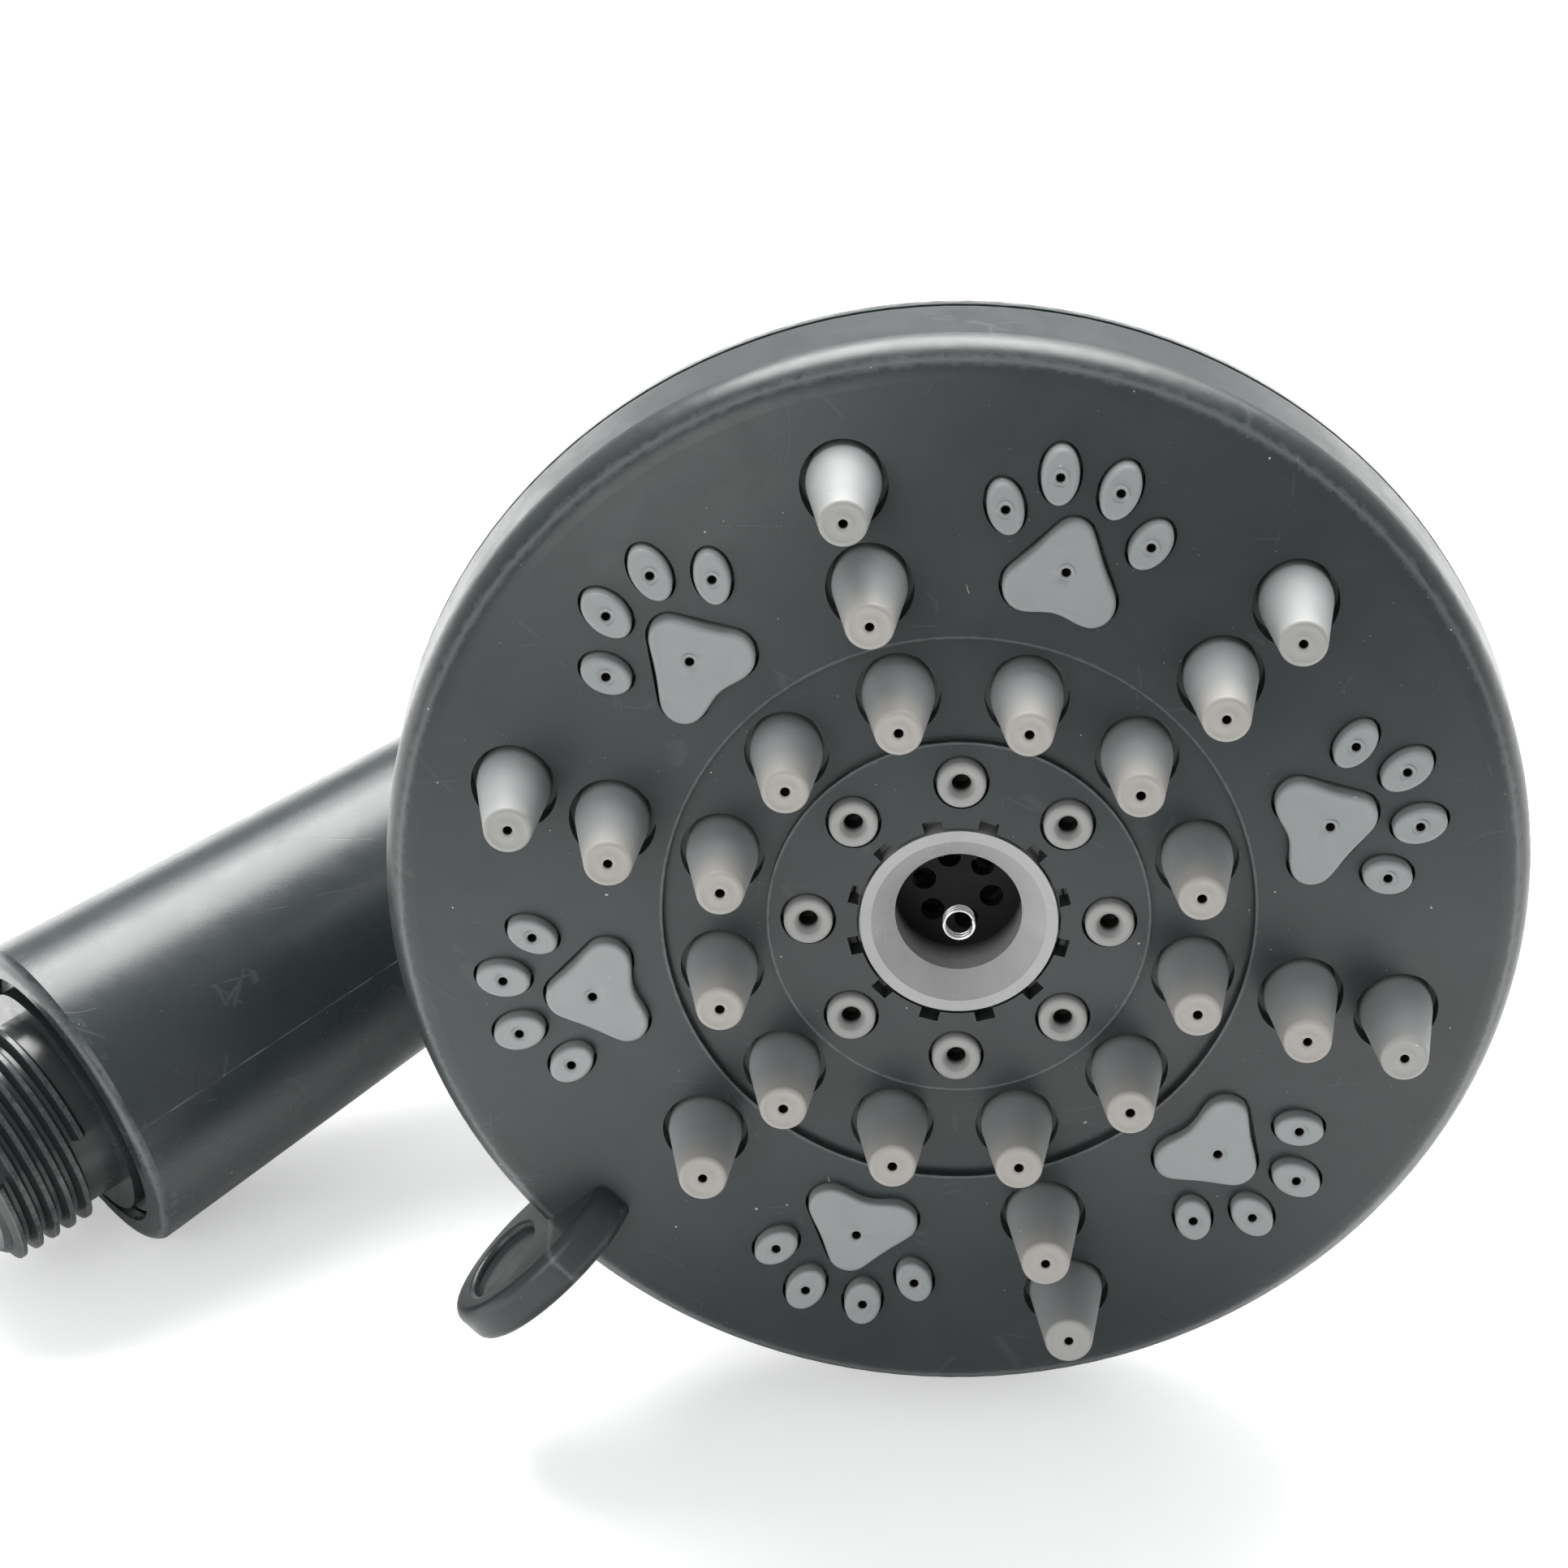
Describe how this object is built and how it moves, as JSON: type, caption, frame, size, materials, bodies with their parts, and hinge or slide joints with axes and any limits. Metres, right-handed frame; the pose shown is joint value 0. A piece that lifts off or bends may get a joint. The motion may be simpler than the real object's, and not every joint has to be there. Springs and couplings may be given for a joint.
{
  "type": "handheld bath sprayer",
  "caption": "Handheld bath sprayer: swan-neck handle with a hose thread and a round turning spray dial with soft cones, paw-shaped nozzles and a thumb lever.",
  "frame": {"origin": "centre of the hose thread's free end", "axes": "+Z along the spray, out of the face; -X towards the handle's end and +X across the head; the handle lies in the XZ plane"},
  "size_m": [0.1576, 0.102, 0.0807],
  "materials": {
    "dark_satin_plastic": "moulded slate grey plastic with a fine satin grain",
    "dark_gloss_plastic": "smooth glossy slate grey plastic",
    "pale_gloss_plastic": "smooth pale grey plastic",
    "pale_silicone": "soft pale warm grey silicone",
    "inner_dark_plastic": "plain black plastic",
    "inner_white_plastic": "plain natural white plastic",
    "black_rubber": "soft black rubber",
    "bright_steel": "stainless steel"
  },
  "bodies": {
    "handle": {"handle_shell": "dark_satin_plastic", "port_plate": "inner_white_plastic", "port_plate_screws": "bright_steel", "pivot_washer": "bright_steel", "pivot_screw": "bright_steel", "port_seal": "black_rubber", "detent_spring": "bright_steel", "inlet_cover": "inner_white_plastic", "drum_gasket": "black_rubber", "water_tube": "inner_white_plastic", "hose_inlet": "dark_gloss_plastic", "inlet_o_rings": "black_rubber", "filter_screen": "bright_steel", "flow_limiter": "inner_dark_plastic"},
    "dial": {"dial_cap": "dark_satin_plastic", "outer_nozzle_mat": "pale_silicone", "middle_nozzle_mat": "pale_silicone", "inner_nozzle_mat": "pale_silicone", "centre_ring": "pale_gloss_plastic", "jet_core": "inner_dark_plastic", "channel_plate": "inner_white_plastic", "chamber_gasket": "black_rubber", "valve_plate": "inner_white_plastic", "dial_screws": "bright_steel"},
    "detent_pin": {"detent_pin": "inner_white_plastic"}
  },
  "joints": [
    {"name": "dial_turn", "type": "hinge", "parent": "handle", "child": "dial", "pos_m": [0.10197, 0, 0.02429], "axis": [0, 0, 1], "range_deg": [-45, 0]},
    {"name": "detent_press", "type": "slide", "parent": "handle", "child": "detent_pin", "axis": [0, 0, 1], "range_m": [0, 0.0006], "stiffness_N_per_m": 400, "springref_m": 0.002, "deforming": ["detent_spring"]}
  ]
}
